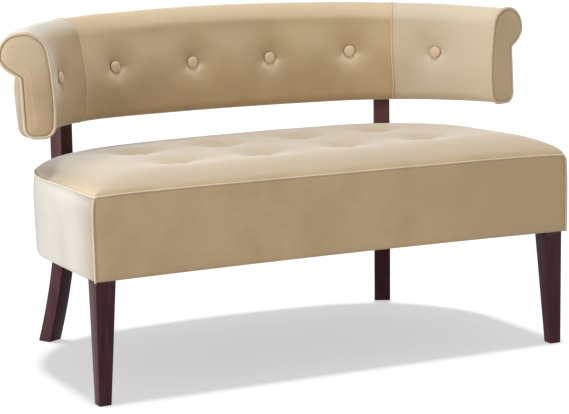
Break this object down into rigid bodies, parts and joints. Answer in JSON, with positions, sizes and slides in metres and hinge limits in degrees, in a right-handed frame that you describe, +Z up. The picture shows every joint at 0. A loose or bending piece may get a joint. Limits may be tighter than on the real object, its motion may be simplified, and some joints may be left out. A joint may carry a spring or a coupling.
{
  "type": "bench settee",
  "caption": "Upholstered bench settee with a tufted crown seat, a curved rolled back that wraps into low arms, and tapered dark wood legs.",
  "frame": {"origin": "middle of the footprint's bounding box, on the floor", "axes": "+X to the sitter's left-hand side seen from behind, which is the viewer's right from the front; +Y toward the back; +Z up; the seat's front faces -Y"},
  "size_m": [1.2968, 0.6556, 0.7558],
  "materials": {
    "espresso_stained_wood": "stained and lacquered, semi-gloss",
    "frame_hardwood": "sawn and planed, unfinished",
    "plywood": "plain, unfinished",
    "foam": "open-cell upholstery foam",
    "tan_velvet": "short-pile velvet",
    "tan_velvet_welt": "short-pile velvet on cord or mould",
    "black_lining": "thin non-woven lining",
    "zinc_plated_steel": "zinc plated"
  },
  "bodies": {
    "root": {"back_button_left_1": "tan_velvet_welt", "back_button_left_2": "tan_velvet_welt", "back_button_left_3": "tan_velvet_welt", "back_button_right_1": "tan_velvet_welt", "back_button_right_2": "tan_velvet_welt", "back_button_right_3": "tan_velvet_welt", "back_core": "plywood", "back_end_former_left": "plywood", "back_end_former_right": "plywood", "back_end_panel_left": "tan_velvet", "back_end_panel_right": "tan_velvet", "back_end_welt_left": "tan_velvet_welt", "back_end_welt_right": "tan_velvet_welt", "back_foam": "foam", "back_middle_cover": "tan_velvet", "back_outside_cover": "tan_velvet", "back_roll_core": "foam", "back_seam_welt_left": "tan_velvet_welt", "back_seam_welt_right": "tan_velvet_welt", "back_wing_cover_left": "tan_velvet", "back_wing_cover_right": "tan_velvet", "front_corner_block_left": "frame_hardwood", "front_corner_block_right": "frame_hardwood", "front_leg_bolt_left": "zinc_plated_steel", "front_leg_bolt_right": "zinc_plated_steel", "front_leg_left": "espresso_stained_wood", "front_leg_right": "espresso_stained_wood", "post_bolt_left": "zinc_plated_steel", "post_bolt_right": "zinc_plated_steel", "rear_corner_block_left": "frame_hardwood", "rear_corner_block_right": "frame_hardwood", "rear_leg_bolt_left": "zinc_plated_steel", "rear_leg_bolt_right": "zinc_plated_steel", "rear_leg_left": "espresso_stained_wood", "rear_leg_right": "espresso_stained_wood", "seat_back_rail": "frame_hardwood", "seat_button_1": "tan_velvet_welt", "seat_button_2": "tan_velvet_welt", "seat_button_3": "tan_velvet_welt", "seat_button_4": "tan_velvet_welt", "seat_button_5": "tan_velvet_welt", "seat_button_6": "tan_velvet_welt", "seat_button_7": "tan_velvet_welt", "seat_button_8": "tan_velvet_welt", "seat_corner_welt_left": "tan_velvet_welt", "seat_corner_welt_right": "tan_velvet_welt", "seat_deck": "plywood", "seat_dust_cover": "black_lining", "seat_foam": "foam", "seat_front_rail": "frame_hardwood", "seat_rear_welt": "tan_velvet_welt", "seat_side_rail_left": "frame_hardwood", "seat_side_rail_right": "frame_hardwood", "seat_skirt_back": "tan_velvet", "seat_skirt_front": "tan_velvet", "seat_skirt_left": "tan_velvet", "seat_skirt_right": "tan_velvet", "seat_stretcher": "frame_hardwood", "seat_top_cover": "tan_velvet", "seat_top_welt": "tan_velvet_welt"}
  },
  "joints": []
}
